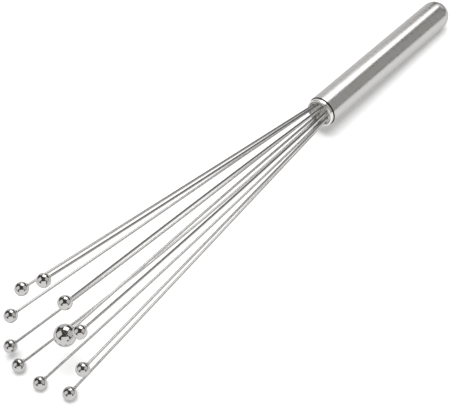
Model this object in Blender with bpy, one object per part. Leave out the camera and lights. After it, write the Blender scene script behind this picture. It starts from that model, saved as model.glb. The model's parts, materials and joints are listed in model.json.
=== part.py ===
"""Ball whisk: a steel tube handle, a polished collar, and eleven spring wires that each end in a ball.

The whisk lies at rest on its domed handle end and on its lowest outer balls. Its working end
points along -Y and +Z is up. All sizes are in metres and all angles in degrees.
"""
import math

import bmesh
import bpy
from mathutils import Matrix, Vector

# Handle
HANDLE_RADIUS = 0.008
HANDLE_LENGTH = 0.114            # from the collar's front face to the tip of the dome
TUBE_WALL = 0.0006
CLEARANCE = 0.0003               # between pieces that touch on the real whisk
CAP_SPIGOT = 0.004               # how far the end cap reaches into the tube

# Collar ring and the plug that holds the wires
COLLAR_RADIUS = 0.0076
COLLAR_BORE = 0.0066
COLLAR_FLANGE = 0.0019
COLLAR_SPIGOT = 0.0015
COLLAR_EDGE = 0.0004             # rounding of the outer front edge
COLLAR_LIP = 0.0002              # rounding of the inner front edge
GROOVE = 0.0004                  # dark line between the collar and the tube
HOLDER_DEPTH = 0.0037
HOLE_RADIUS = 0.0011

# Wires and balls
WIRE_RADIUS = 0.00065
WIRE_COUNT = 10
ROOT_CIRCLE = 0.00455            # radius of the circle of wire pivots in the holder
FIRST_ROOT = 2.0                 # azimuth of the first root, counted from +X towards up
WIRE_TAIL = 0.0016               # wire behind its pivot
BALL_RADIUS = 0.0032
CENTRE_BALL_RADIUS = 0.0051
CENTRE_REACH = 0.1896
SOCKET_DEPTH = 0.6               # depth of a ball's blind hole, as a share of the ball's radius
CENTRE_LEAN = (325.0, 0.6)       # azimuth and splay of the centre wire's slight lean

# Every outer wire leaves its root a little differently, as hand-set spring wires do:
# (azimuth past its root, splay from the handle's axis, reach from its pivot to the ball's centre)
WIRE_SETS = (
    (-7, 4.4, 0.198),
    (15, 7.7, 0.199),
    (-2, 9.4, 0.199),
    (-18, 9.4, 0.197),
    (-19, 6.4, 0.196),
    (-12, 4.8, 0.200),
    (0, 6.3, 0.203),
    (-21, 5.4, 0.206),
    (-24, 4.5, 0.206),
    (-26, 5.8, 0.202),
)

# Resting pose: the whisk's axis climbs from the dome towards the balls
AXIS_CLIMB = 2.92

# Mesh resolution
HANDLE_SEGMENTS = 40
BALL_SEGMENTS = 16
WIRE_SEGMENTS = 10
HOLE_SEGMENTS = 12
EDGE_STEPS = 3
DOME_STEPS = 8
SHARP_ANGLE = 35.0
WELD_DISTANCE = 1e-6

# Colour, roughness and metallic value of each kind of piece
FINISHES = {
    "handle": ((0.60, 0.59, 0.57), 0.32, 1.0),
    "end_cap": ((0.58, 0.57, 0.55), 0.28, 1.0),
    "collar": ((0.72, 0.71, 0.69), 0.12, 1.0),
    "holder": ((0.30, 0.30, 0.30), 0.50, 1.0),
    "wire": ((0.62, 0.62, 0.61), 0.20, 1.0),
    "ball": ((0.70, 0.69, 0.68), 0.06, 1.0),
}

TUBE_BORE = HANDLE_RADIUS - TUBE_WALL
INSERT_RADIUS = TUBE_BORE - CLEARANCE
TUBE_FRONT = -(COLLAR_FLANGE + GROOVE)
DOME_CENTRE = -(HANDLE_LENGTH - HANDLE_RADIUS)
HOLDER_FRONT = -(COLLAR_FLANGE + COLLAR_SPIGOT + CLEARANCE)
PIVOT_DEPTH = -(HOLDER_FRONT - HOLDER_DEPTH / 2)


def clear_scene():
    for item in list(bpy.data.objects):
        bpy.data.objects.remove(item, do_unlink=True)


def material(name, finish):
    colour, roughness, metallic = FINISHES[finish]
    made = bpy.data.materials.new(name)
    made.use_nodes = True
    made.diffuse_color = (*colour, 1.0)
    shader = made.node_tree.nodes["Principled BSDF"]
    shader.inputs["Base Color"].default_value = (*colour, 1.0)
    shader.inputs["Roughness"].default_value = roughness
    shader.inputs["Metallic"].default_value = metallic
    return made


def empty(name, parent=None, frame=Matrix.Identity(4)):
    made = bpy.data.objects.new(name, None)
    made.empty_display_size = HANDLE_RADIUS
    bpy.context.collection.objects.link(made)
    made.parent = parent
    made.matrix_local = frame
    return made


def solid(name, bm, finish, parent):
    """Turn a bmesh into a named, smooth-shaded object under its parent."""
    mesh = bpy.data.meshes.new(name)
    bm.to_mesh(mesh)
    bm.free()
    mesh.shade_smooth()
    mesh.set_sharp_from_angle(angle=math.radians(SHARP_ANGLE))
    mesh.materials.append(material(name, finish))
    made = bpy.data.objects.new(name, mesh)
    bpy.context.collection.objects.link(made)
    made.parent = parent
    return made


def turned(profile, segments, closed):
    """Spin a profile of (radius, z) points about Z into a closed body."""
    bm = bmesh.new()
    points = [bm.verts.new((radius, 0.0, z)) for radius, z in profile]
    pairs = list(zip(points, points[1:]))
    if closed:
        pairs.append((points[-1], points[0]))
    edges = [bm.edges.new(pair) for pair in pairs]
    bmesh.ops.spin(bm, geom=points + edges, axis=(0, 0, 1), cent=(0, 0, 0),
                   angle=math.tau, steps=segments, use_merge=True)
    bmesh.ops.remove_doubles(bm, verts=bm.verts, dist=WELD_DISTANCE)
    bmesh.ops.recalc_face_normals(bm, faces=bm.faces)
    return bm


def arc(centre, radius, start, end, steps):
    """Points (radius, z) on an arc in the profile plane; 0 degrees points outwards, 90 along +Z."""
    angles = [math.radians(start + (end - start) * step / steps) for step in range(steps + 1)]
    return [(centre[0] + radius * math.cos(a), centre[1] + radius * math.sin(a)) for a in angles]


def on_axis(points):
    """Put the last point of an arc exactly on the axis."""
    return points[:-1] + [(0.0, points[-1][1])]


def handle_tube(parent):
    rear = DOME_CENTRE + CLEARANCE
    profile = [
        (TUBE_BORE, rear),
        (HANDLE_RADIUS, rear),
        (HANDLE_RADIUS, TUBE_FRONT),
        (TUBE_BORE, TUBE_FRONT),
    ]
    return solid("handle_tube", turned(profile, HANDLE_SEGMENTS, closed=True), "handle", parent)


def end_cap(parent):
    """Pressed dome with a spigot; its inside is open towards the tube."""
    inner = TUBE_BORE
    spigot_bore = INSERT_RADIUS - TUBE_WALL
    spigot_front = DOME_CENTRE + CAP_SPIGOT
    meet = -math.degrees(math.acos(spigot_bore / inner))
    centre = (0.0, DOME_CENTRE)
    inside = on_axis(arc(centre, inner, meet, -90.0, DOME_STEPS))
    outside = on_axis(arc(centre, HANDLE_RADIUS, 0.0, -90.0, DOME_STEPS))
    profile = list(reversed(inside))
    profile += [(spigot_bore, spigot_front), (INSERT_RADIUS, spigot_front), (INSERT_RADIUS, DOME_CENTRE)]
    profile += outside
    return solid("end_cap", turned(profile, HANDLE_SEGMENTS, closed=False), "end_cap", parent)


def collar_ring(parent):
    """Ring with a rounded front, a flat front face and a spigot in the tube's mouth."""
    spigot_rear = -(COLLAR_FLANGE + COLLAR_SPIGOT)
    profile = arc((COLLAR_BORE + COLLAR_LIP, -COLLAR_LIP), COLLAR_LIP, 180.0, 90.0, EDGE_STEPS)
    profile += arc((COLLAR_RADIUS - COLLAR_EDGE, -COLLAR_EDGE), COLLAR_EDGE, 90.0, 0.0, EDGE_STEPS)
    profile += [
        (COLLAR_RADIUS, -COLLAR_FLANGE),
        (INSERT_RADIUS, -COLLAR_FLANGE),
        (INSERT_RADIUS, spigot_rear),
        (COLLAR_BORE, spigot_rear),
    ]
    return solid("collar_ring", turned(profile, HANDLE_SEGMENTS, closed=True), "collar", parent)


def wire_frame(pivot, azimuth, splay):
    """Frame at a wire's pivot: Z along the wire, X outwards, Y along the bending hinge."""
    along = Vector((math.sin(splay) * math.cos(azimuth),
                    math.sin(splay) * math.sin(azimuth),
                    math.cos(splay)))
    outwards = Vector((math.cos(azimuth), math.sin(azimuth), 0.0))
    outwards = (outwards - outwards.dot(along) * along).normalized()
    hinge = along.cross(outwards)
    return Matrix.Translation(pivot) @ Matrix((outwards, hinge, along)).transposed().to_4x4()


def outer_wire_frames():
    frames = []
    for index, (lean, splay, _reach) in enumerate(WIRE_SETS):
        root = math.radians(FIRST_ROOT + index * 360.0 / WIRE_COUNT)
        pivot = Vector((ROOT_CIRCLE * math.cos(root), ROOT_CIRCLE * math.sin(root), -PIVOT_DEPTH))
        frames.append(wire_frame(pivot, root + math.radians(lean), math.radians(splay)))
    return frames


def centre_wire_frame():
    azimuth, splay = (math.radians(angle) for angle in CENTRE_LEAN)
    return wire_frame(Vector((0.0, 0.0, -PIVOT_DEPTH)), azimuth, splay)


def holder_cutter(parent, frames):
    """One slanted drill for each wire, all in one mesh."""
    bm = bmesh.new()
    for frame in frames:
        bmesh.ops.create_cone(bm, cap_ends=True, segments=HOLE_SEGMENTS, radius1=HOLE_RADIUS,
                              radius2=HOLE_RADIUS, depth=4 * HOLDER_DEPTH, matrix=frame)
    cutter = solid("holder_drills", bm, "holder", parent)
    cutter.hide_render = True
    cutter.display_type = "WIRE"
    return cutter


def wire_holder(parent, frames):
    """Plug in the tube's mouth with a hole for every wire."""
    rear = HOLDER_FRONT - HOLDER_DEPTH
    profile = [(0.0, rear), (INSERT_RADIUS, rear), (INSERT_RADIUS, HOLDER_FRONT), (0.0, HOLDER_FRONT)]
    plug = solid("wire_holder", turned(profile, HANDLE_SEGMENTS, closed=False), "holder", parent)
    drill = plug.modifiers.new("wire holes", "BOOLEAN")
    drill.operation = "DIFFERENCE"
    drill.solver = "EXACT"
    drill.object = holder_cutter(parent, frames)
    return plug


def wire(name, parent, reach, ball_radius):
    """Straight wire along the parent's Z, ending just short of the bottom of its ball's hole."""
    tip = reach - ball_radius * (1.0 - SOCKET_DEPTH) - CLEARANCE
    length = tip + WIRE_TAIL
    bm = bmesh.new()
    bmesh.ops.create_cone(bm, cap_ends=True, segments=WIRE_SEGMENTS, radius1=WIRE_RADIUS,
                          radius2=WIRE_RADIUS, depth=length,
                          matrix=Matrix.Translation((0.0, 0.0, length / 2 - WIRE_TAIL)))
    return solid(name, bm, "wire", parent)


def ball(name, parent, reach, radius):
    """Ball with a blind hole that faces back along the wire."""
    hole = WIRE_RADIUS + CLEARANCE
    rim = -math.degrees(math.acos(hole / radius))
    profile = [(0.0, -radius * (1.0 - SOCKET_DEPTH)), (hole, -radius * (1.0 - SOCKET_DEPTH))]
    profile += on_axis(arc((0.0, 0.0), radius, rim, 90.0, DOME_STEPS))
    made = solid(name, turned(profile, BALL_SEGMENTS, closed=False), "ball", parent)
    made.location = (0.0, 0.0, reach)
    return made


def sprung_wire(name, ball_name, parent, frame, reach, ball_radius):
    hinge = empty(name + "_root", parent, frame)
    wire(name, hinge, reach, ball_radius)
    ball(ball_name, hinge, reach, ball_radius)


def resting_frame():
    """The whisk's frame at rest: Z along its axis, X level, the dome just on the ground."""
    climb = math.radians(AXIS_CLIMB)
    turn = Matrix.Rotation(math.pi / 2 - climb, 4, "X")
    lift = HANDLE_RADIUS - DOME_CENTRE * math.sin(climb)
    return Matrix.Translation((0.0, 0.0, lift)) @ turn


def centre_on_origin(root):
    """Slide the whisk level so that its bounding box is centred on the origin."""
    bpy.context.view_layer.update()
    corners = [item.matrix_world @ Vector(corner)
               for item in bpy.data.objects if item.type == "MESH" and not item.hide_render
               for corner in item.bound_box]
    for axis in (0, 1):
        places = [corner[axis] for corner in corners]
        root.location[axis] -= (min(places) + max(places)) / 2
    bpy.context.view_layer.update()


def build():
    clear_scene()
    whisk = empty("whisk_frame", frame=resting_frame())
    handle_tube(whisk)
    end_cap(whisk)
    collar_ring(whisk)
    outer_frames = outer_wire_frames()
    centre_frame = centre_wire_frame()
    wire_holder(whisk, outer_frames + [centre_frame])
    for index, frame in enumerate(outer_frames):
        label = f"{index + 1:02d}"
        reach = WIRE_SETS[index][2]
        sprung_wire("wire_" + label, "ball_" + label, whisk, frame, reach, BALL_RADIUS)
    sprung_wire("centre_wire", "centre_ball", whisk, centre_frame, CENTRE_REACH, CENTRE_BALL_RADIUS)
    centre_on_origin(whisk)


build()
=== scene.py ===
"""Ball whisk: the finished surfaces, floor, light and camera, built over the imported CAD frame.

Every length is in metres in the frame's own space, and every angle is in degrees unless a name
says otherwise. The whisk's own space has +Z along its axis towards the balls, +X as in the frame,
and its origin at the middle of the collar's front plane.
"""
import json
import math

import bmesh
import bpy
import numpy as np
from mathutils import Matrix, Vector


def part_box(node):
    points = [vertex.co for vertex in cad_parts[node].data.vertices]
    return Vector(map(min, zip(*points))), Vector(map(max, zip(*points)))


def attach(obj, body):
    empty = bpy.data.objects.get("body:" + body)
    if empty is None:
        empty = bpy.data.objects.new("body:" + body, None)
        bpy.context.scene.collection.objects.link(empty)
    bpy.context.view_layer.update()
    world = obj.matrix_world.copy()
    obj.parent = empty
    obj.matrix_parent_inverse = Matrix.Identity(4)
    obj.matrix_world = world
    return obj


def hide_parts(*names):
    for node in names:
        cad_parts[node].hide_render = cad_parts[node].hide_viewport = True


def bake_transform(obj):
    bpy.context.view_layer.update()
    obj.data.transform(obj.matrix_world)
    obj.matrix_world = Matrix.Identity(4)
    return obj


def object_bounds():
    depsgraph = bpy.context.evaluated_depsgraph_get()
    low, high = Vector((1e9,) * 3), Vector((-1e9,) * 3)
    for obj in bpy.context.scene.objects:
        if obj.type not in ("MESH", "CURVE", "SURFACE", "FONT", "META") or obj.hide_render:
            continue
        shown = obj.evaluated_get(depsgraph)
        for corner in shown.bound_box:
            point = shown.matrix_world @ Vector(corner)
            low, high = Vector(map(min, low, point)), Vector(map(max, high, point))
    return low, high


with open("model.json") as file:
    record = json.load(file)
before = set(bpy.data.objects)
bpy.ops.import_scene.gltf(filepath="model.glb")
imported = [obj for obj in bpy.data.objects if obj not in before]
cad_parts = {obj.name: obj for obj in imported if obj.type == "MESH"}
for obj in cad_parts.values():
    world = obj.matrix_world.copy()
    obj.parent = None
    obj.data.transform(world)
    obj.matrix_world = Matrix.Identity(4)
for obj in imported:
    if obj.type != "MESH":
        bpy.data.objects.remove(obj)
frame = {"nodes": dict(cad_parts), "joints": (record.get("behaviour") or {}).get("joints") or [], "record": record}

CAD_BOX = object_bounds()

# How finely the pieces are turned
HANDLE_SEGMENTS = 160
COLLAR_SEGMENTS = 160
BALL_SEGMENTS = 72
WIRE_SEGMENTS = 28
POOL_SEGMENTS = 120
POOL_RINGS = 36
ARC_STEP = 4.0                   # degrees of turn between the points of a rounded profile
ARC_LEAST = 3                    # steps in the shortest arc
WIRE_STEP = 0.0025               # between the rings of a wire
ON_AXIS = 1e-7                   # a profile point closer to the axis than this is on it
SAME_PLACE = 1e-5                # vertices of a CAD node closer than this are at one level

# Handle skin
MOUTH_EDGE = 0.00022             # rounding of the tube's open end
SKIN_WALL = 0.0006
SKIN_STEP = 0.002                # between the rings of the straight tube

# Collar
COLLAR_FRONT_EDGE = 0.0005       # rounding of the outer edge at the front
COLLAR_FINE_EDGE = 0.00012       # and of all its other edges
BORE_STEP = 0.0003               # how much wider the bore is at its front
BORE_STEP_DEPTH = 0.0003

# Wires and their welds
WELD_SLEEVE = 0.00016            # thickness of the weld round a wire where it enters its ball
WELD_LENGTH = 0.0007
WELD_FILLET = 0.0005
# How far a listed wire bows at mid-length: outwards, and sideways round the ring
BOWS = {
    "spring_02": (0.0, -0.0007),
    "spring_03": (0.0, 0.0004),
    "spring_04": (0.0, -0.0006),
    "spring_07": (0.0, 0.0012),
    "spring_08": (0.0, 0.0024),
    "spring_09": (0.0003, 0.0008),
    "centre_spring": (-0.0005, 0.0),
}

# Braze pool round the wire roots
BRAZE_GAP = 0.00004              # between the pool and the collar's bore
BRAZE_BEHIND = 0.0008            # how far the pool lies behind the collar's front
BRAZE_RISE = 0.0006              # how high it climbs a wire
BRAZE_MEETING = 1.4              # most that it climbs where several wires meet, in such rises
BRAZE_SPREAD = 0.00045           # how far from a wire the climb fades away
BRAZE_CROWN = 0.00025            # how much higher the pool's middle is than its edge
BRAZE_CROWN_POWER = 6            # high, so that the crown is flat and drops at the edge

# Materials. A colour or roughness is a pair: where a noise texture is low, and where it is high.
# A texture's cells are counted per metre, in rings as (across the rings, round the axis), and
# its relief is (depth, strength).
EDGE_TINT = (0.6, 0.6, 0.6, 1.0)  # darkens the metal's rims a little against the pale floor
NOISE_SPREAD = (0.3, 0.7)        # where nearly all of a noise texture's values lie
FINE_SHARE = 0.6                 # weight of a surface's finer texture against its coarser one

SATIN_COLOURS = ((0.485, 0.478, 0.468), (0.527, 0.521, 0.510))
SATIN_ROUGHNESS = (0.24, 0.32)
SATIN_GRAIN = (9000.0, 60.0)
SATIN_LINES = (2200.0, 25.0)
SATIN_RELIEF = (0.000006, 0.3)
SATIN_PATCHES = 70.0
SATIN_PATCH_SPREAD = (0.35, 0.7)
SATIN_PATCH_ROUGHNESS = (-0.015, 0.02)
BURNISH_STARTS = 0.0008          # behind the mouth
BURNISH_ENDS = 0.0001
BURNISH_SMOOTHING = 0.10         # roughness that the burnish takes away

MIRROR_HAZE = 500.0
MIRROR_HAZE_SPREAD = (0.3, 0.75)
MIRROR_HAIRLINES = (7000.0, 300.0)
MIRROR_RELIEF = (0.000001, 0.2)
COLLAR_COLOURS = ((0.64, 0.635, 0.62), (0.72, 0.715, 0.70))
COLLAR_ROUGHNESS = (0.16, 0.24)
BALL_COLOURS = ((0.44, 0.434, 0.425), (0.50, 0.493, 0.483))
BALL_ROUGHNESS = (0.03, 0.07)

WIRE_COLOURS = ((0.45, 0.446, 0.44), (0.52, 0.516, 0.508))
WIRE_ROUGHNESS = (0.09, 0.12)
WIRE_DIE_LINES = (6000.0, 6000.0, 12.0)
WIRE_PATCHES = (600.0, 600.0, 60.0)
WIRE_RELIEF = (0.000001, 0.06)

BRAZE_COLOURS = ((0.30, 0.29, 0.275), (0.56, 0.545, 0.525))
BRAZE_COLOUR_SPREAD = (0.35, 0.65)
BRAZE_ROUGHNESS = (0.40, 0.60)
BRAZE_FLOW = 900.0
BRAZE_PITS = 4000.0
BRAZE_PIT_SHARE = 0.3
BRAZE_RELIEF = (0.00006, 0.5)
BRAZE_METALLIC = 0.9

# Painted shade in the groove between the collar and the tube: a dark colour laid where shade falls
GROOVE_SHADE = (0.06, 0.055, 0.05, 1.0)
GROOVE_SHADE_FADE = 0.00012              # how far it fades out past the groove's edges

# Camera: where its axis meets the floor, counted from the middle of the CAD box
AIM_ACROSS = -0.00262
AIM_ALONG = -0.02465
CAMERA_DISTANCE = 0.6151
CAMERA_HEADING = 129.65          # the way it looks, from +X towards +Y
CAMERA_TILT = 49.1               # below the horizon
CAMERA_LENS = 100.1              # millimetres, on a sensor 36 millimetres wide

# Floor and light
FLOOR_RADIUS = 3.0
FLOOR_SEGMENTS = 96
FLOOR_GREY = 0.9
FLOOR_MOTTLE = 40.0              # cells per metre
FLOOR_MOTTLE_DEPTH = 0.004
FLOOR_ROUGHNESS = 0.9
FILL_LIGHT = 0.64                # what the pale studio walls send to the floor
MIRRORED_FLOOR = 1.35            # a glow that replaces the lit floor in what the metal mirrors,
MIRRORED_SHARE = 0.7             # and how much of it: the floor's shadows are that much weaker
DARK_STUDIO = 0.08               # what the metal sees between the panels
BACKDROP = 1.0                   # what the camera sees past the floor
PANEL_DISTANCE = 1.6
KEY_DISTANCE = 12.0              # far enough to light the floor evenly
# Each lamp: heading from +X, height above the horizon, half width, half height, radiance, tint.
# The key draws the shadows, and the metal doesn't mirror it.
KEY = (-30.0, 90.0, 20.0, 20.0, 5.3, (1.0, 1.0, 1.0))
# The panels are what the metal mirrors. They don't light the floor.
PANELS = {
    "softbox": (114.0, 51.0, 19.0, 16.5, 3.0, (1.0, 0.995, 0.985)),
    "high_softbox": (112.0, 65.0, 15.0, 11.5, 3.0, (1.0, 0.995, 0.985)),
    "ball_softbox": (116.0, 54.5, 21.0, 20.0, 3.0, (1.0, 0.995, 0.985)),
    "left_card": (-125.0, 33.0, 22.0, 27.0, 1.1, (1.0, 1.0, 1.0)),
    "front_card": (-45.0, 17.0, 34.0, 21.0, 1.2, (0.99, 0.99, 1.0)),
    "right_card": (35.0, 34.0, 28.0, 27.0, 0.45, (1.0, 0.965, 0.94)),
    "ball_card": (35.0, 34.0, 28.0, 27.0, 0.85, (1.0, 0.975, 0.955)),
    "wire_card": (42.0, 52.0, 18.0, 12.0, 0.6, (1.0, 1.0, 1.0)),
    "rear_card": (92.0, 20.0, 18.0, 11.0, 0.9, (1.0, 1.0, 1.0)),
    "back_card": (147.0, 15.0, 21.0, 19.0, 0.86, (1.0, 0.99, 1.0)),
}
# Panels that only some of the pieces mirror, or all but some
LIT_ONLY = {
    "softbox": ("EXCLUDE", ("wires", "balls")),
    "high_softbox": ("INCLUDE", ("wires",)),
    "ball_softbox": ("INCLUDE", ("balls",)),
    "right_card": ("EXCLUDE", ("balls",)),
    "rear_card": ("EXCLUDE", ("wires", "balls")),
    "ball_card": ("INCLUDE", ("balls",)),
    "wire_card": ("INCLUDE", ("wires",)),
}


# ---------------------------------------------------------------------------
# Places read from the frame
# ---------------------------------------------------------------------------
def whisk_space():
    """Matrix of the whisk's own space, from the record's two mounts."""
    mounts = {mount["name"]: mount for mount in frame["record"]["mounts"]}
    along = Vector(mounts["collar_front"]["axis"]).normalized()
    grip = Vector(mounts["handle_grip"]["pos_m"])
    front = Vector(mounts["collar_front"]["pos_m"])
    mouth = grip + along * (front - grip).dot(along)
    return seated(mouth, along, Vector((1.0, 0.0, 0.0)))


def seated(origin, along, across):
    """Matrix with its Z along one direction, its X near another, and its origin at a point."""
    z = along.normalized()
    x = (across - z * across.dot(z)).normalized()
    y = z.cross(x)
    turn = Matrix((x, y, z)).transposed().to_4x4()
    return Matrix.Translation(origin) @ turn


def profile_of(node):
    """Radius and height of each vertex of a CAD node in the whisk's own space."""
    to_whisk = WHISK.inverted()
    points = [to_whisk @ vertex.co for vertex in frame["nodes"][node].data.vertices]
    radii = np.array([math.hypot(point.x, point.y) for point in points])
    heights = np.array([point.z for point in points])
    return radii, heights


def middle_of(node):
    low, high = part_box(node)
    return (low + high) / 2


WHISK = whisk_space()
JOINTS = {joint["child"]: joint for joint in frame["joints"]}


# ---------------------------------------------------------------------------
# Mesh helpers
# ---------------------------------------------------------------------------
def arc(centre, radius, start, end):
    """Points of an arc in a (radius, height) profile, from one angle to another."""
    steps = max(ARC_LEAST, round(abs(end - start) / ARC_STEP))
    points = []
    for k in range(steps + 1):
        angle = math.radians(start + (end - start) * k / steps)
        points.append((centre[0] + radius * math.cos(angle), centre[1] + radius * math.sin(angle)))
    return points


def straight(start, end, step):
    """Points between two profile points, without the two ends, no further apart than a step."""
    length = math.hypot(end[0] - start[0], end[1] - start[1])
    count = max(1, math.ceil(length / step))
    return [
        (start[0] + (end[0] - start[0]) * k / count, start[1] + (end[1] - start[1]) * k / count)
        for k in range(1, count)
    ]


def add_turned(bm, profile, segments, closed=False):
    """Adds a body turned about Z. A closed profile is a loop, and an open one ends on the axis."""
    rings = []
    for radius, height in profile:
        if radius < ON_AXIS:
            rings.append([bm.verts.new((0.0, 0.0, height))] * segments)
            continue
        ring = []
        for k in range(segments):
            angle = 2 * math.pi * k / segments
            ring.append(bm.verts.new((radius * math.cos(angle), radius * math.sin(angle), height)))
        rings.append(ring)
    following = rings[1:] + rings[:1] if closed else rings[1:]
    for one, two in zip(rings, following):
        for k in range(segments):
            after = (k + 1) % segments
            corners = list(dict.fromkeys((one[k], one[after], two[after], two[k])))
            if len(corners) > 2:
                bm.faces.new(corners)


def finished(name, bm, material, seat):
    """Makes a smooth-shaded object of a bmesh, placed by a matrix, and frees the bmesh."""
    bmesh.ops.recalc_face_normals(bm, faces=bm.faces[:])
    mesh = bpy.data.meshes.new(name)
    bm.to_mesh(mesh)
    bm.free()
    mesh.shade_smooth()
    mesh.materials.append(material)
    obj = bpy.data.objects.new(name, mesh)
    bpy.context.scene.collection.objects.link(obj)
    obj.matrix_world = seat
    return obj


# ---------------------------------------------------------------------------
# Material helpers
# ---------------------------------------------------------------------------
class Nodes:
    """Short calls that add nodes to one material and join them."""

    def __init__(self, name):
        self.material = bpy.data.materials.new(name)
        self.material.use_nodes = True
        self.tree = self.material.node_tree
        self.shader = self.tree.nodes["Principled BSDF"]

    def add(self, kind, inputs=(), **settings):
        node = self.tree.nodes.new(kind)
        for key, value in settings.items():
            setattr(node, key, value)
        for key, value in dict(inputs).items():
            self.feed(node.inputs[key], value)
        return node

    def feed(self, socket, value):
        if isinstance(value, bpy.types.NodeSocket):
            self.tree.links.new(value, socket)
        else:
            socket.default_value = value

    def maths(self, operation, one, two=0.0):
        return self.add("ShaderNodeMath", {0: one, 1: two}, operation=operation).outputs[0]

    def scaled(self, vector, amounts):
        node = self.add("ShaderNodeVectorMath", {0: vector, 1: amounts}, operation="MULTIPLY")
        return node.outputs["Vector"]

    def noise(self, vector, scale=1.0, detail=3.0, rough=0.55):
        inputs = {"Vector": vector, "Scale": scale, "Detail": detail, "Roughness": rough}
        return self.add("ShaderNodeTexNoise", inputs).outputs["Fac"]

    def ramp(self, value, spread, results=(0.0, 1.0), smooth=False):
        """Maps one spread of values onto another, and clamps what lies outside it."""
        low, high = spread
        to_low, to_high = results
        kind = "SMOOTHSTEP" if smooth else "LINEAR"
        inputs = {
            "Value": value, "From Min": low, "From Max": high, "To Min": to_low, "To Max": to_high,
        }
        return self.add("ShaderNodeMapRange", inputs, interpolation_type=kind).outputs["Result"]

    def weighted(self, fine, coarse):
        """Joins a surface's finer and coarser textures."""
        fine_part = self.maths("MULTIPLY", fine, FINE_SHARE)
        return self.maths("ADD", fine_part, self.maths("MULTIPLY", coarse, 1.0 - FINE_SHARE))

    def tint(self, value, colours):
        low, high = colours
        inputs = {"Factor": value, 6: (*low, 1.0), 7: (*high, 1.0)}
        return self.add("ShaderNodeMix", inputs, data_type="RGBA").outputs[2]

    def painted_shade(self, colour, unshaded):
        """Paints shade into a colour where a factor falls to zero."""
        inputs = {"Factor": unshaded, 6: GROOVE_SHADE, 7: colour}
        return self.add("ShaderNodeMix", inputs, data_type="RGBA").outputs[2]

    def bump(self, height, relief):
        distance, strength = relief
        inputs = {"Height": height, "Distance": distance, "Strength": strength}
        return self.add("ShaderNodeBump", inputs).outputs["Normal"]

    def point(self):
        """The point in the piece's own space."""
        return self.add("ShaderNodeTexCoord").outputs["Object"]

    def place(self):
        """The point in the piece's own space, its distance from the Z axis, and its height."""
        point = self.point()
        flat = self.scaled(point, (1.0, 1.0, 0.0))
        radius = self.add("ShaderNodeVectorMath", {0: flat}, operation="LENGTH").outputs["Value"]
        height = self.add("ShaderNodeSeparateXYZ", {0: point}).outputs["Z"]
        return point, radius, height

    def rings(self, place, cells, detail=3.0, rough=0.55):
        """Noise drawn out round the Z axis, as a polishing belt leaves on a turned piece."""
        point, radius, height = place
        across, around = cells
        line = self.maths("MULTIPLY", self.maths("ADD", height, radius), across)
        flat = self.scaled(point, (around, around, 0.0))
        lifted = self.add("ShaderNodeCombineXYZ", {"Z": line}).outputs["Vector"]
        joined = self.add("ShaderNodeVectorMath", {0: flat, 1: lifted}, operation="ADD")
        return self.noise(joined.outputs["Vector"], detail=detail, rough=rough)

    def metal(self, colour, rough, normal, metallic=1.0):
        """Joins a metal's textures to the shader, and gives the finished material."""
        self.feed(self.shader.inputs["Base Color"], colour)
        self.feed(self.shader.inputs["Roughness"], rough)
        self.feed(self.shader.inputs["Normal"], normal)
        self.shader.inputs["Metallic"].default_value = metallic
        return self.material


def satin_steel(mouth):
    """Belt-polished steel: fine rings of grain, soft patches, and a burnished mouth, with painted shade where it
    meets the collar's groove.
    """
    nodes = Nodes("satin_steel")
    place = nodes.place()
    point, _, height = place
    grain = nodes.rings(place, SATIN_GRAIN, detail=4.0, rough=0.6)
    lines = nodes.rings(place, SATIN_LINES, detail=2.0)
    patches = nodes.noise(point, SATIN_PATCHES)
    shade = nodes.weighted(grain, lines)
    # Painted shade: the tube's colour darkens over its last stretch before the mouth, in the collar's groove.
    groove_shade_edge = (mouth - 2 * GROOVE_SHADE_FADE, mouth - GROOVE_SHADE_FADE)
    colour = nodes.tint(nodes.ramp(shade, NOISE_SPREAD), SATIN_COLOURS)
    colour = nodes.painted_shade(colour, nodes.ramp(height, groove_shade_edge, (1.0, 0.0)))
    rough = nodes.ramp(shade, NOISE_SPREAD, SATIN_ROUGHNESS)
    patch_rough = nodes.ramp(patches, SATIN_PATCH_SPREAD, SATIN_PATCH_ROUGHNESS)
    rough = nodes.maths("ADD", rough, patch_rough)
    burnish = nodes.ramp(height, (mouth - BURNISH_STARTS, mouth - BURNISH_ENDS), smooth=True)
    rough = nodes.maths("SUBTRACT", rough, nodes.maths("MULTIPLY", burnish, BURNISH_SMOOTHING))
    nodes.shader.inputs["Specular Tint"].default_value = EDGE_TINT
    return nodes.metal(colour, rough, nodes.bump(grain, SATIN_RELIEF))


def mirror_steel(name, colours, roughness, shoulder=None):
    """Mirror-polished steel with faint haze and hairlines, and painted shade behind a shoulder."""
    nodes = Nodes(name)
    place = nodes.place()
    point, _, height = place
    haze = nodes.noise(point, MIRROR_HAZE)
    hairlines = nodes.rings(place, MIRROR_HAIRLINES)
    colour = nodes.tint(haze, colours)
    # Painted shade: behind the shoulder, in the groove by the tube, the colour darkens.
    if shoulder is not None:
        groove_shade_edge = (shoulder - GROOVE_SHADE_FADE, shoulder + GROOVE_SHADE_FADE)
        colour = nodes.painted_shade(colour, nodes.ramp(height, groove_shade_edge))
    rough = nodes.ramp(haze, MIRROR_HAZE_SPREAD, roughness)
    nodes.shader.inputs["Specular Tint"].default_value = EDGE_TINT
    return nodes.metal(colour, rough, nodes.bump(hairlines, MIRROR_RELIEF))


def drawn_steel():
    """Drawn spring wire: lengthwise die lines, duller where they run together."""
    nodes = Nodes("drawn_steel")
    point = nodes.point()
    die_lines = nodes.noise(nodes.scaled(point, WIRE_DIE_LINES), detail=2.0)
    patches = nodes.noise(nodes.scaled(point, WIRE_PATCHES))
    shade = nodes.weighted(die_lines, patches)
    colour = nodes.tint(nodes.ramp(shade, NOISE_SPREAD), WIRE_COLOURS)
    rough = nodes.ramp(shade, NOISE_SPREAD, WIRE_ROUGHNESS)
    return nodes.metal(colour, rough, nodes.bump(die_lines, WIRE_RELIEF))


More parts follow.
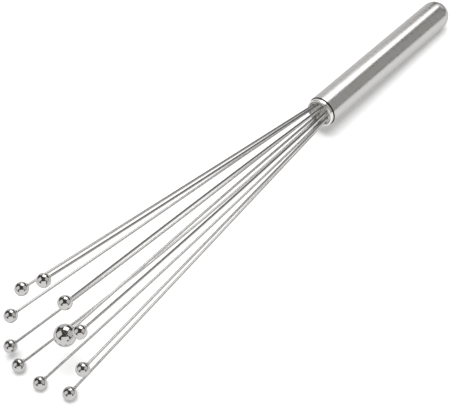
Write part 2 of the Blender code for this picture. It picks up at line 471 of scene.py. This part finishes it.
def braze_metal():
    """The darkened braze that fills the collar round the wire roots."""
    nodes = Nodes("braze_metal")
    point = nodes.point()
    flow = nodes.noise(point, BRAZE_FLOW, detail=4.0, rough=0.6)
    pits = nodes.noise(point, BRAZE_PITS, detail=2.0)
    colour = nodes.tint(nodes.ramp(flow, BRAZE_COLOUR_SPREAD), BRAZE_COLOURS)
    rough = nodes.ramp(flow, NOISE_SPREAD, BRAZE_ROUGHNESS)
    height = nodes.maths("ADD", flow, nodes.maths("MULTIPLY", pits, BRAZE_PIT_SHARE))
    return nodes.metal(colour, rough, nodes.bump(height, BRAZE_RELIEF), BRAZE_METALLIC)


# ---------------------------------------------------------------------------
# Pieces
# ---------------------------------------------------------------------------
def handle_skin(material):
    """Tube and dome as one polished skin with a rounded, open mouth."""
    radii, heights = profile_of("handle_tube")
    outer = radii.max()
    front = heights.max()
    tip = profile_of("end_cap")[1].min()
    inner = outer - SKIN_WALL
    dome = tip + outer
    profile = arc((outer - MOUTH_EDGE, front - MOUTH_EDGE), MOUTH_EDGE, 90.0, 0.0)
    profile += straight((outer, front - MOUTH_EDGE), (outer, dome), SKIN_STEP)
    profile += arc((0.0, dome), outer, 0.0, -90.0)
    lip = arc((inner + MOUTH_EDGE, front - MOUTH_EDGE), MOUTH_EDGE, 180.0, 90.0)
    inside = arc((0.0, dome), inner, -90.0, 0.0)
    inside += straight((inner, dome), (inner, front), SKIN_STEP)
    bm = bmesh.new()
    add_turned(bm, inside + lip + profile, HANDLE_SEGMENTS)
    skin = finished("handle_skin", bm, material, WHISK)
    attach(skin, "handle")
    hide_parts("handle_tube", "end_cap")
    return skin


def collar_shoulder():
    """Height of the collar's rear face, which meets the groove."""
    radii, heights = profile_of("collar_ring")
    return heights[radii > radii.max() - SAME_PLACE].min()


def collar(material):
    """Polished ring with a rounded front edge, a stepped bore and a spigot in the tube's mouth."""
    radii, heights = profile_of("collar_ring")
    outer = radii.max()
    bore = radii.min()
    front = heights.max()
    rear = heights.min()
    shoulder = collar_shoulder()
    spigot = radii[heights < rear + SAME_PLACE].max()
    step = bore + BORE_STEP
    wide = COLLAR_FRONT_EDGE
    fine = COLLAR_FINE_EDGE
    profile = arc((outer - wide, front - wide), wide, 90.0, 0.0)
    profile += arc((outer - fine, shoulder + fine), fine, 0.0, -90.0)
    profile += [(spigot, shoulder), (spigot, rear), (bore, rear)]
    profile += arc((bore + fine, front - BORE_STEP_DEPTH - fine), fine, 180.0, 90.0)
    profile += arc((step + fine, front - fine), fine, 180.0, 90.0)
    bm = bmesh.new()
    add_turned(bm, profile, COLLAR_SEGMENTS, closed=True)
    ring = finished("collar", bm, material, WHISK)
    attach(ring, "handle")
    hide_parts("collar_ring")
    return ring


def braze_height(x, y, roots):
    """How high the braze climbs at a point across the pool: a meniscus up each wire."""
    rise = 0.0
    for root_x, root_y, wire_radius in roots:
        gap = math.hypot(x - root_x, y - root_y) - wire_radius
        rise += BRAZE_RISE * math.exp(-max(gap, 0.0) / BRAZE_SPREAD)
    return min(rise, BRAZE_RISE * BRAZE_MEETING)


def wire_crossing(child, height):
    """Where a wire's middle line crosses a plane across the whisk, in the whisk's own space."""
    start = WHISK.inverted() @ Vector(JOINTS[child]["pos_m"])
    end = WHISK.inverted() @ middle_of(ball_of(child))
    share = (height - start.z) / (end.z - start.z)
    return start + (end - start) * share


def braze_pool(material):
    """The braze that closes the collar round the wire roots, with a low crown and menisci."""
    bore = profile_of("collar_ring")[0].min()
    bottom = profile_of("wire_holder")[1].min()
    outer = bore - BRAZE_GAP
    top = -BRAZE_BEHIND
    roots = []
    for child in JOINTS:
        crossing = wire_crossing(child, top)
        roots.append((crossing.x, crossing.y, wire_radius(child)))
    bm = bmesh.new()
    profile = [(0.0, top)]
    profile += [(outer * (k + 1) / POOL_RINGS, top) for k in range(POOL_RINGS)]
    profile += [(outer, bottom), (0.0, bottom)]
    add_turned(bm, profile, POOL_SEGMENTS)
    for vertex in bm.verts:
        x, y, z = vertex.co
        if z > bottom + SAME_PLACE:
            fade = 1.0 - (math.hypot(x, y) / outer) ** BRAZE_CROWN_POWER
            vertex.co.z += braze_height(x, y, roots) + BRAZE_CROWN * fade
    pool = finished("braze_pool", bm, material, WHISK)
    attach(pool, "handle")
    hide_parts("wire_holder")
    return pool


def ball_of(child):
    return "centre_ball" if child == "centre_spring" else child.replace("spring", "ball")


def wire_of(child):
    return "centre_wire" if child == "centre_spring" else child.replace("spring", "wire")


def wire_space(child):
    """Matrix with its origin at a wire's pivot, its Z towards the ball and its Y on the hinge."""
    pivot = Vector(JOINTS[child]["pos_m"])
    hinge = Vector(JOINTS[child]["axis"])
    along = (middle_of(ball_of(child)) - pivot).normalized()
    outwards = hinge.cross(along)
    return seated(pivot, along, outwards)


def extent_along(node, space):
    """Greatest radius, lowest and highest point of a CAD node in a wire's space."""
    inverse = space.inverted()
    points = [inverse @ vertex.co for vertex in frame["nodes"][node].data.vertices]
    radius = max(math.hypot(point.x, point.y) for point in points)
    heights = [point.z for point in points]
    return radius, min(heights), max(heights)


def wire_radius(child):
    return extent_along(wire_of(child), wire_space(child))[0]


def spring_wire(child, material):
    """One drawn wire from its root to its ball, some with a slight bow."""
    space = wire_space(child)
    radius, tail, front = extent_along(wire_of(child), space)
    reach = (middle_of(ball_of(child)) - space.translation).length
    bm = bmesh.new()
    profile = [(0.0, tail), (radius, tail)]
    profile += straight((radius, tail), (radius, front), WIRE_STEP)
    profile += [(radius, front), (0.0, front)]
    add_turned(bm, profile, WIRE_SEGMENTS)
    outwards, sideways = BOWS.get(child, (0.0, 0.0))
    for vertex in bm.verts:
        share = min(max(vertex.co.z / reach, 0.0), 1.0)
        bow = 4.0 * share * (1.0 - share)  # a parabola: 0 at both ends and 1 at mid-length
        vertex.co.x += outwards * bow
        vertex.co.y += sideways * bow
    wire = finished(wire_of(child) + "_drawn", bm, material, space)
    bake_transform(wire)
    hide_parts(wire_of(child))
    return wire


def ball(child, material):
    """One polished ball with a filleted weld where its wire enters."""
    space = wire_space(child)
    reach = (middle_of(ball_of(child)) - space.translation).length
    _, rear, front = extent_along(ball_of(child), space)
    radius = (front - rear) / 2
    sleeve = wire_radius(child) + WELD_SLEEVE
    meeting = math.degrees(math.acos((sleeve + WELD_FILLET) / (radius + WELD_FILLET)))
    profile = arc((0.0, 0.0), radius, 90.0, -meeting)
    fillet_height = -(radius + WELD_FILLET) * math.sin(math.radians(meeting))
    fillet = arc((sleeve + WELD_FILLET, fillet_height), WELD_FILLET, 180.0 - meeting, 180.0)
    profile += fillet[1:]
    end = fillet_height - WELD_LENGTH + WELD_FILLET
    profile += arc((sleeve - WELD_SLEEVE, end), WELD_SLEEVE, 0.0, -90.0)
    profile += [(0.0, end - WELD_SLEEVE)]
    bm = bmesh.new()
    add_turned(bm, profile, BALL_SEGMENTS)
    seat = space @ Matrix.Translation((0.0, 0.0, reach))
    body = finished(ball_of(child) + "_polished", bm, material, seat)
    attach(body, child)
    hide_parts(ball_of(child))
    return body


# ---------------------------------------------------------------------------
# Floor, light and camera
# ---------------------------------------------------------------------------
def floor():
    """A wide pale disc under the whisk, that the metal mirrors with weaker shadows."""
    nodes = Nodes("pale_floor")
    mottle = nodes.noise(nodes.point(), FLOOR_MOTTLE)
    greys = ((FLOOR_GREY - FLOOR_MOTTLE_DEPTH,) * 3, (FLOOR_GREY + FLOOR_MOTTLE_DEPTH,) * 3)
    nodes.feed(nodes.shader.inputs["Base Color"], nodes.tint(mottle, greys))
    nodes.shader.inputs["Roughness"].default_value = FLOOR_ROUGHNESS
    nodes.shader.inputs["Specular IOR Level"].default_value = 0.0
    lit = nodes.shader.outputs[0]
    glow = nodes.add("ShaderNodeEmission", {"Strength": MIRRORED_FLOOR}).outputs[0]
    mirrored = nodes.add("ShaderNodeLightPath").outputs["Is Glossy Ray"]
    share = nodes.maths("MULTIPLY", mirrored, MIRRORED_SHARE)
    mixed = nodes.add("ShaderNodeMixShader", {0: share, 1: lit, 2: glow}).outputs[0]
    nodes.feed(nodes.tree.nodes["Material Output"].inputs["Surface"], mixed)
    nodes.material.cycles.emission_sampling = "NONE"
    bm = bmesh.new()
    bmesh.ops.create_circle(bm, cap_ends=True, segments=FLOOR_SEGMENTS, radius=FLOOR_RADIUS)
    ground = finished("floor", bm, nodes.material, Matrix.Translation((0.0, 0.0, CAD_BOX[0].z)))


def towards(heading, height):
    """Unit vector that points to a heading and a height above the horizon."""
    heading = math.radians(heading)
    height = math.radians(height)
    level = math.cos(height)
    return Vector((level * math.cos(heading), level * math.sin(heading), math.sin(height)))


def panel(name, distance, heading, height, half_width, half_height, radiance, tint):
    """A soft rectangular lamp that faces the whisk and that the camera doesn't see."""
    direction = towards(heading, height)
    light = bpy.data.lights.new(name, "AREA")
    light.shape = "RECTANGLE"
    light.size = 2 * distance * math.tan(math.radians(half_width))
    light.size_y = 2 * distance * math.tan(math.radians(half_height))
    light.energy = radiance * math.pi * light.size * light.size_y
    light.color = tint
    lamp = bpy.data.objects.new(name, light)
    lamp.location = direction * distance
    lamp.rotation_euler = direction.to_track_quat("Z", "Y").to_euler()
    lamp.visible_camera = False
    bpy.context.scene.collection.objects.link(lamp)
    return lamp


def linked(name, state, pieces):
    """A light-linking collection: INCLUDE leaves a lamp only these pieces, EXCLUDE the others."""
    group = bpy.data.collections.new(name)
    for piece in pieces:
        group.objects.link(piece)
    for item in group.collection_objects:
        item.light_linking.link_state = state
    return group


def studio(pieces):
    """Pale walls for the floor and the view, a dark room for the metal to mirror, and lamps."""
    world = bpy.data.worlds.new("studio")
    world.use_nodes = True
    tree = world.node_tree
    shader = tree.nodes["Background"]
    path = tree.nodes.new("ShaderNodeLightPath")
    mirrored = tree.nodes.new("ShaderNodeMix")
    mirrored.inputs["A"].default_value = FILL_LIGHT
    mirrored.inputs["B"].default_value = DARK_STUDIO
    tree.links.new(path.outputs["Is Glossy Ray"], mirrored.inputs["Factor"])
    seen = tree.nodes.new("ShaderNodeMix")
    seen.inputs["B"].default_value = BACKDROP
    tree.links.new(path.outputs["Is Camera Ray"], seen.inputs["Factor"])
    tree.links.new(mirrored.outputs["Result"], seen.inputs["A"])
    tree.links.new(seen.outputs["Result"], shader.inputs["Color"])
    bpy.context.scene.world = world
    key = panel("key", KEY_DISTANCE, *KEY)
    key.visible_glossy = False
    key.light_linking.blocker_collection = linked("key_shadows", "EXCLUDE", pieces["wires"])
    for name, settings in PANELS.items():
        lamp = panel(name, PANEL_DISTANCE, *settings)
        lamp.visible_diffuse = False
        if name in LIT_ONLY:
            state, kinds = LIT_ONLY[name]
            chosen = [piece for kind in kinds for piece in pieces[kind]]
            lamp.light_linking.receiver_collection = linked(name + "_pieces", state, chosen)


def camera():
    """Looks down on the whisk from the side of its balls."""
    low, high = CAD_BOX
    aim = Vector(((low.x + high.x) / 2 + AIM_ACROSS, (low.y + high.y) / 2 + AIM_ALONG, low.z))
    direction = towards(CAMERA_HEADING, -CAMERA_TILT)
    view = bpy.data.objects.new("camera", bpy.data.cameras.new("camera"))
    view.data.lens = CAMERA_LENS
    view.location = aim - direction * CAMERA_DISTANCE
    view.rotation_euler = direction.to_track_quat("-Z", "Y").to_euler()
    bpy.context.scene.collection.objects.link(view)
    bpy.context.scene.camera = view


def build():
    """The whole whisk, its floor, its lamps and its camera."""
    mouth = profile_of("handle_tube")[1].max()
    handle_skin(satin_steel(mouth))
    collar(mirror_steel("collar_steel", COLLAR_COLOURS, COLLAR_ROUGHNESS, collar_shoulder()))
    braze_pool(braze_metal())
    wire_metal = drawn_steel()
    ball_metal = mirror_steel("ball_steel", BALL_COLOURS, BALL_ROUGHNESS)
    pieces = {"wires": [], "balls": []}
    for child in JOINTS:
        pieces["wires"].append(spring_wire(child, wire_metal))
        pieces["balls"].append(ball(child, ball_metal))
    floor()
    studio(pieces)
    camera()
    bpy.context.scene.view_settings.view_transform = "Standard"


build()

bpy.context.view_layer.update()
